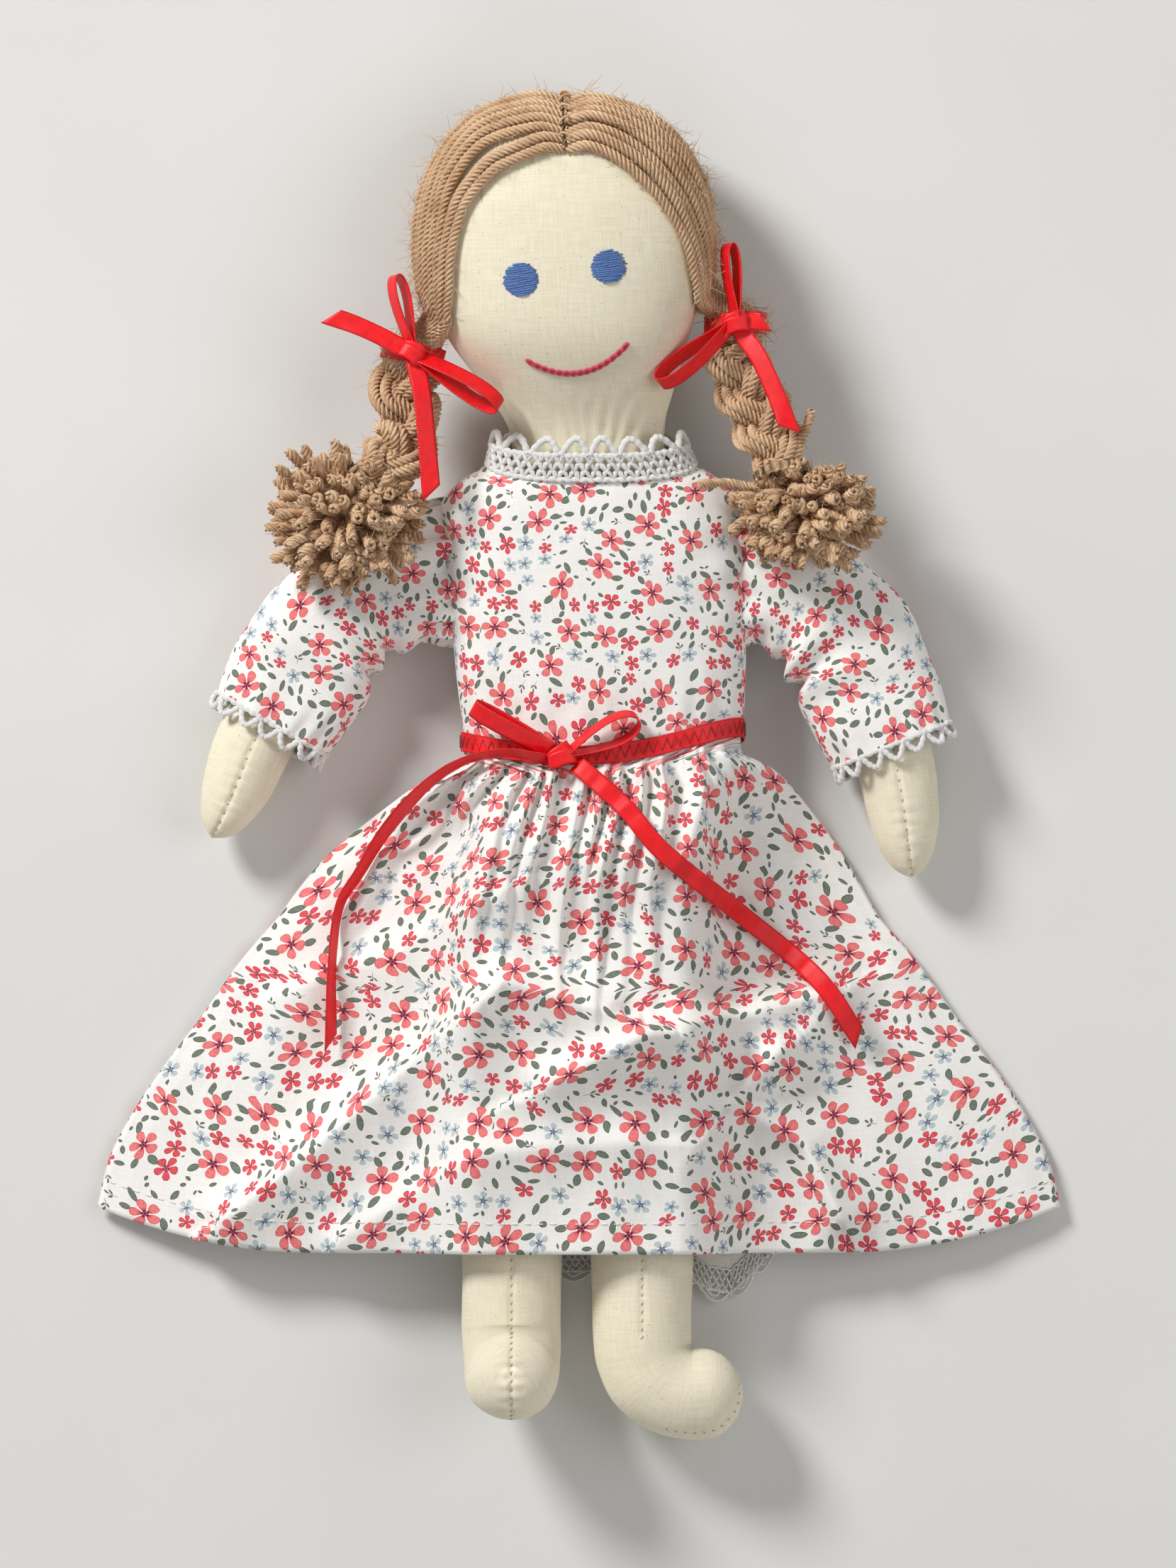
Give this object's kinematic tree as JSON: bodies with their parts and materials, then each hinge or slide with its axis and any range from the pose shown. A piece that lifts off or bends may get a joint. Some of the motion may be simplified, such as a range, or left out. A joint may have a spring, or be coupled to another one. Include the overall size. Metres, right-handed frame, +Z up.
{
  "type": "rag doll",
  "caption": "Stuffed calico rag doll lying on its back, with yarn braids, a printed cotton dress, lace collar and cuffs, a ribbon sash and a petticoat",
  "frame": {"origin": "middle of the doll's outline, on the floor it lies on", "axes": "+Y runs to the crown of the head, +X to the doll's own left, +Z up to its face"},
  "size_m": [0.302, 0.4217, 0.0543],
  "materials": {
    "calico": "unbleached plain-weave cotton, matt",
    "fibre": "loose polyester stuffing",
    "yarn": "brown double-knit yarn, matt and fuzzy",
    "ribbon": "red satin ribbon with dotted edges",
    "eye_thread": "blue stranded cotton, satin stitch",
    "mouth_thread": "crimson stranded cotton, chain stitch",
    "lace": "white crochet cotton lace",
    "lining": "plain white cotton",
    "print": "off-white cotton with a small floral print"
  },
  "bodies": {
    "lower": {"skirt": "print", "petticoat": "lining", "petticoat_lace": "lace"},
    "upper": {"torso_cover": "calico", "torso_stuffing": "fibre", "bodice": "print", "collar_lace": "lace", "sash_band": "ribbon", "sash_bow": "ribbon", "sash_tail_left": "ribbon", "sash_tail_right": "ribbon"},
    "head": {"head_cover": "calico", "head_stuffing": "fibre", "eye_left": "eye_thread", "eye_right": "eye_thread", "mouth": "mouth_thread", "hair_left": "yarn", "hair_right": "yarn", "parting_stitch": "yarn", "hair_bow_left": "ribbon", "hair_bow_right": "ribbon"},
    "braid_left": {"braid_left": "yarn", "braid_tie_left": "yarn", "tassel_left": "yarn"},
    "arm_left": {"arm_left_cover": "calico", "arm_left_stuffing": "fibre", "sleeve_left": "print", "cuff_lace_left": "lace"},
    "leg_left": {"leg_left_cover": "calico", "leg_left_stuffing": "fibre"},
    "braid_right": {"braid_right": "yarn", "braid_tie_right": "yarn", "tassel_right": "yarn"},
    "arm_right": {"arm_right_cover": "calico", "arm_right_stuffing": "fibre", "sleeve_right": "print", "cuff_lace_right": "lace"},
    "leg_right": {"leg_right_cover": "calico", "leg_right_stuffing": "fibre"}
  },
  "joints": [
    {"name": "sit_up", "type": "hinge", "parent": "lower", "child": "upper", "pos_m": [0.00112, -0.04, 0.0185], "axis": [1, 0, 0], "range_deg": [0, 80], "deforming": ["skirt", "petticoat", "petticoat_lace", "sash_tail_left", "sash_tail_right"]},
    {"name": "head_tilt", "type": "hinge", "parent": "upper", "child": "head", "pos_m": [0.003, 0.105, 0.0189], "axis": [0, 0, 1], "range_deg": [-8, 8]},
    {"name": "braid_left_swing", "type": "hinge", "parent": "head", "child": "braid_left", "pos_m": [0.049, 0.139, 0.0262], "axis": [0, 0, 1], "range_deg": [0, 12]},
    {"name": "braid_right_swing", "type": "hinge", "parent": "head", "child": "braid_right", "pos_m": [-0.0516, 0.1296, 0.0262], "axis": [0, 0, 1], "range_deg": [-12, 0]},
    {"name": "arm_left_swing", "type": "hinge", "parent": "upper", "child": "arm_left", "pos_m": [0.05589, 0.062, 0.016], "axis": [0, 0, 1], "range_deg": [-3, 35], "deforming": ["sleeve_left"]},
    {"name": "arm_right_swing", "type": "hinge", "parent": "upper", "child": "arm_right", "pos_m": [-0.04531, 0.062, 0.016], "axis": [0, 0, 1], "range_deg": [-35, 3], "deforming": ["sleeve_right"]},
    {"name": "leg_left_turn", "type": "hinge", "parent": "lower", "child": "leg_left", "pos_m": [0.01975, -0.0558, 0.0183], "axis": [0, 1, 0], "range_deg": [-90, 0]},
    {"name": "leg_right_turn", "type": "hinge", "parent": "lower", "child": "leg_right", "pos_m": [-0.02095, -0.0558, 0.0183], "axis": [0, 1, 0], "range_deg": [-90, 0]}
  ]
}
